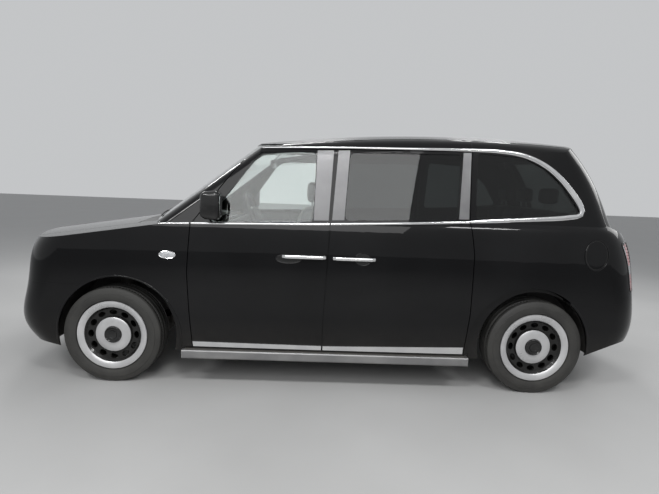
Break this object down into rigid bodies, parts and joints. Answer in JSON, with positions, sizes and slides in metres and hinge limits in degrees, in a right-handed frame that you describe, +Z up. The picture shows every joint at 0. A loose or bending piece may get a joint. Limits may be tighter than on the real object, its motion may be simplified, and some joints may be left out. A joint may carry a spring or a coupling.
{
  "type": "purpose-built taxi cab",
  "caption": "Full-size purpose-built taxi cab with hinged doors, bonnet and tailgate, steered front wheels and a glazed partition.",
  "frame": {"origin": "on the ground, under the middle of the body's length and width", "axes": "+Z up, -X towards the nose, +Y towards the vehicle's right side"},
  "size_m": [4.8479, 2.036, 1.8628],
  "materials": {
    "body_paint": "gloss black",
    "clear_glass": "clear",
    "dark_glass": "dark tinted",
    "lamp_glass": "clear",
    "tail_lens": "red gloss",
    "bright_trim": "polished",
    "black_plastic": "fine grain",
    "gloss_plastic": "gloss",
    "step_alloy": "satin",
    "tyre_rubber": "worn",
    "wheel_silver": "silver",
    "chassis_metal": "raw",
    "drive_alloy": "cast",
    "seat_cover": "matt",
    "cab_trim": "grained"
  },
  "bodies": {
    "body": {"battery_pack": "chassis_metal", "bulkhead": "chassis_metal", "cowl": "black_plastic", "dashboard": "cab_trim", "driver_seat": "seat_cover", "floor_pan": "chassis_metal", "folding_seats": "seat_cover", "front_arch_liners": "black_plastic", "front_bumper": "body_paint", "front_suspension": "chassis_metal", "front_wing_left": "body_paint", "front_wing_right": "body_paint", "grille": "bright_trim", "headlamps": "lamp_glass", "partition": "cab_trim", "partition_window": "clear_glass", "power_unit": "drive_alloy", "quarter_windows": "dark_glass", "radiator": "drive_alloy", "rear_arch_liners": "black_plastic", "rear_axle": "chassis_metal", "rear_bench": "seat_cover", "rear_bumper": "body_paint", "rear_drive": "drive_alloy", "roof_panel": "body_paint", "side_frame_left": "body_paint", "side_frame_right": "body_paint", "side_steps": "step_alloy", "steering_column": "cab_trim", "tail_lamps": "tail_lens", "windscreen": "clear_glass"},
    "knuckle_body_left": {"knuckle_left": "chassis_metal"},
    "front_wheel_body_left": {"front_tyre_left": "tyre_rubber", "front_wheel_left": "wheel_silver"},
    "rear_wheel_body_left": {"rear_tyre_left": "tyre_rubber", "rear_wheel_left": "wheel_silver"},
    "front_door_body_left": {"front_door_left": "body_paint", "front_door_window_left": "clear_glass", "front_door_handle_left": "bright_trim", "door_mirror_left": "gloss_plastic"},
    "rear_door_body_left": {"rear_door_left": "body_paint", "rear_door_window_left": "dark_glass", "rear_door_handle_left": "bright_trim"},
    "knuckle_body_right": {"knuckle_right": "chassis_metal"},
    "front_wheel_body_right": {"front_tyre_right": "tyre_rubber", "front_wheel_right": "wheel_silver"},
    "rear_wheel_body_right": {"rear_tyre_right": "tyre_rubber", "rear_wheel_right": "wheel_silver"},
    "front_door_body_right": {"front_door_right": "body_paint", "front_door_window_right": "clear_glass", "front_door_handle_right": "bright_trim", "door_mirror_right": "gloss_plastic"},
    "rear_door_body_right": {"rear_door_right": "body_paint", "rear_door_window_right": "dark_glass", "rear_door_handle_right": "bright_trim"},
    "bonnet_body": {"bonnet": "body_paint"},
    "tailgate_body": {"tailgate": "body_paint", "rear_window": "dark_glass"},
    "steering_wheel_body": {"steering_wheel": "cab_trim"}
  },
  "joints": [
    {"name": "steer_left", "type": "hinge", "parent": "body", "child": "knuckle_body_left", "pos_m": [-1.56, -0.67, 0.34], "axis": [0, 0, 1], "range_deg": [-40, 40]},
    {"name": "front_wheel_spin_left", "type": "hinge", "parent": "knuckle_body_left", "child": "front_wheel_body_left", "pos_m": [-1.56, -0.79, 0.34], "axis": [0, 1, 0], "continuous": true},
    {"name": "rear_wheel_spin_left", "type": "hinge", "parent": "body", "child": "rear_wheel_body_left", "pos_m": [1.425, -0.79, 0.34], "axis": [0, 1, 0], "continuous": true},
    {"name": "front_door_left_hinge", "type": "hinge", "parent": "body", "child": "front_door_body_left", "pos_m": [-1.028, -0.941, 0.7], "axis": [0, 0, -1], "range_deg": [0, 65]},
    {"name": "rear_door_left_hinge", "type": "hinge", "parent": "body", "child": "rear_door_body_left", "pos_m": [0.934, -0.941, 0.7], "axis": [0, 0, 1], "range_deg": [0, 90]},
    {"name": "steer_right", "type": "hinge", "parent": "body", "child": "knuckle_body_right", "pos_m": [-1.56, 0.67, 0.34], "axis": [0, 0, 1], "range_deg": [-40, 40]},
    {"name": "front_wheel_spin_right", "type": "hinge", "parent": "knuckle_body_right", "child": "front_wheel_body_right", "pos_m": [-1.56, 0.79, 0.34], "axis": [0, 1, 0], "continuous": true},
    {"name": "rear_wheel_spin_right", "type": "hinge", "parent": "body", "child": "rear_wheel_body_right", "pos_m": [1.425, 0.79, 0.34], "axis": [0, 1, 0], "continuous": true},
    {"name": "front_door_right_hinge", "type": "hinge", "parent": "body", "child": "front_door_body_right", "pos_m": [-1.028, 0.941, 0.7], "axis": [0, 0, 1], "range_deg": [0, 65]},
    {"name": "rear_door_right_hinge", "type": "hinge", "parent": "body", "child": "rear_door_body_right", "pos_m": [0.934, 0.941, 0.7], "axis": [0, 0, -1], "range_deg": [0, 90]},
    {"name": "bonnet_hinge", "type": "hinge", "parent": "body", "child": "bonnet_body", "pos_m": [-1.44, 0, 1.148], "axis": [0, 1, 0], "range_deg": [0, 50]},
    {"name": "tailgate_hinge", "type": "hinge", "parent": "body", "child": "tailgate_body", "pos_m": [1.7, 0, 1.836], "axis": [0, -1, 0], "range_deg": [0, 80]},
    {"name": "steering_wheel_turn", "type": "hinge", "parent": "body", "child": "steering_wheel_body", "pos_m": [-0.64, -0.4, 1.18], "axis": [0.9272, 0, 0.3746], "range_deg": [-480, 480]}
  ],
  "couplings": [
    {"joint": "steer_right", "follows": "steer_left", "ratio": 1},
    {"joint": "steering_wheel_turn", "follows": "steer_left", "ratio": 12}
  ]
}
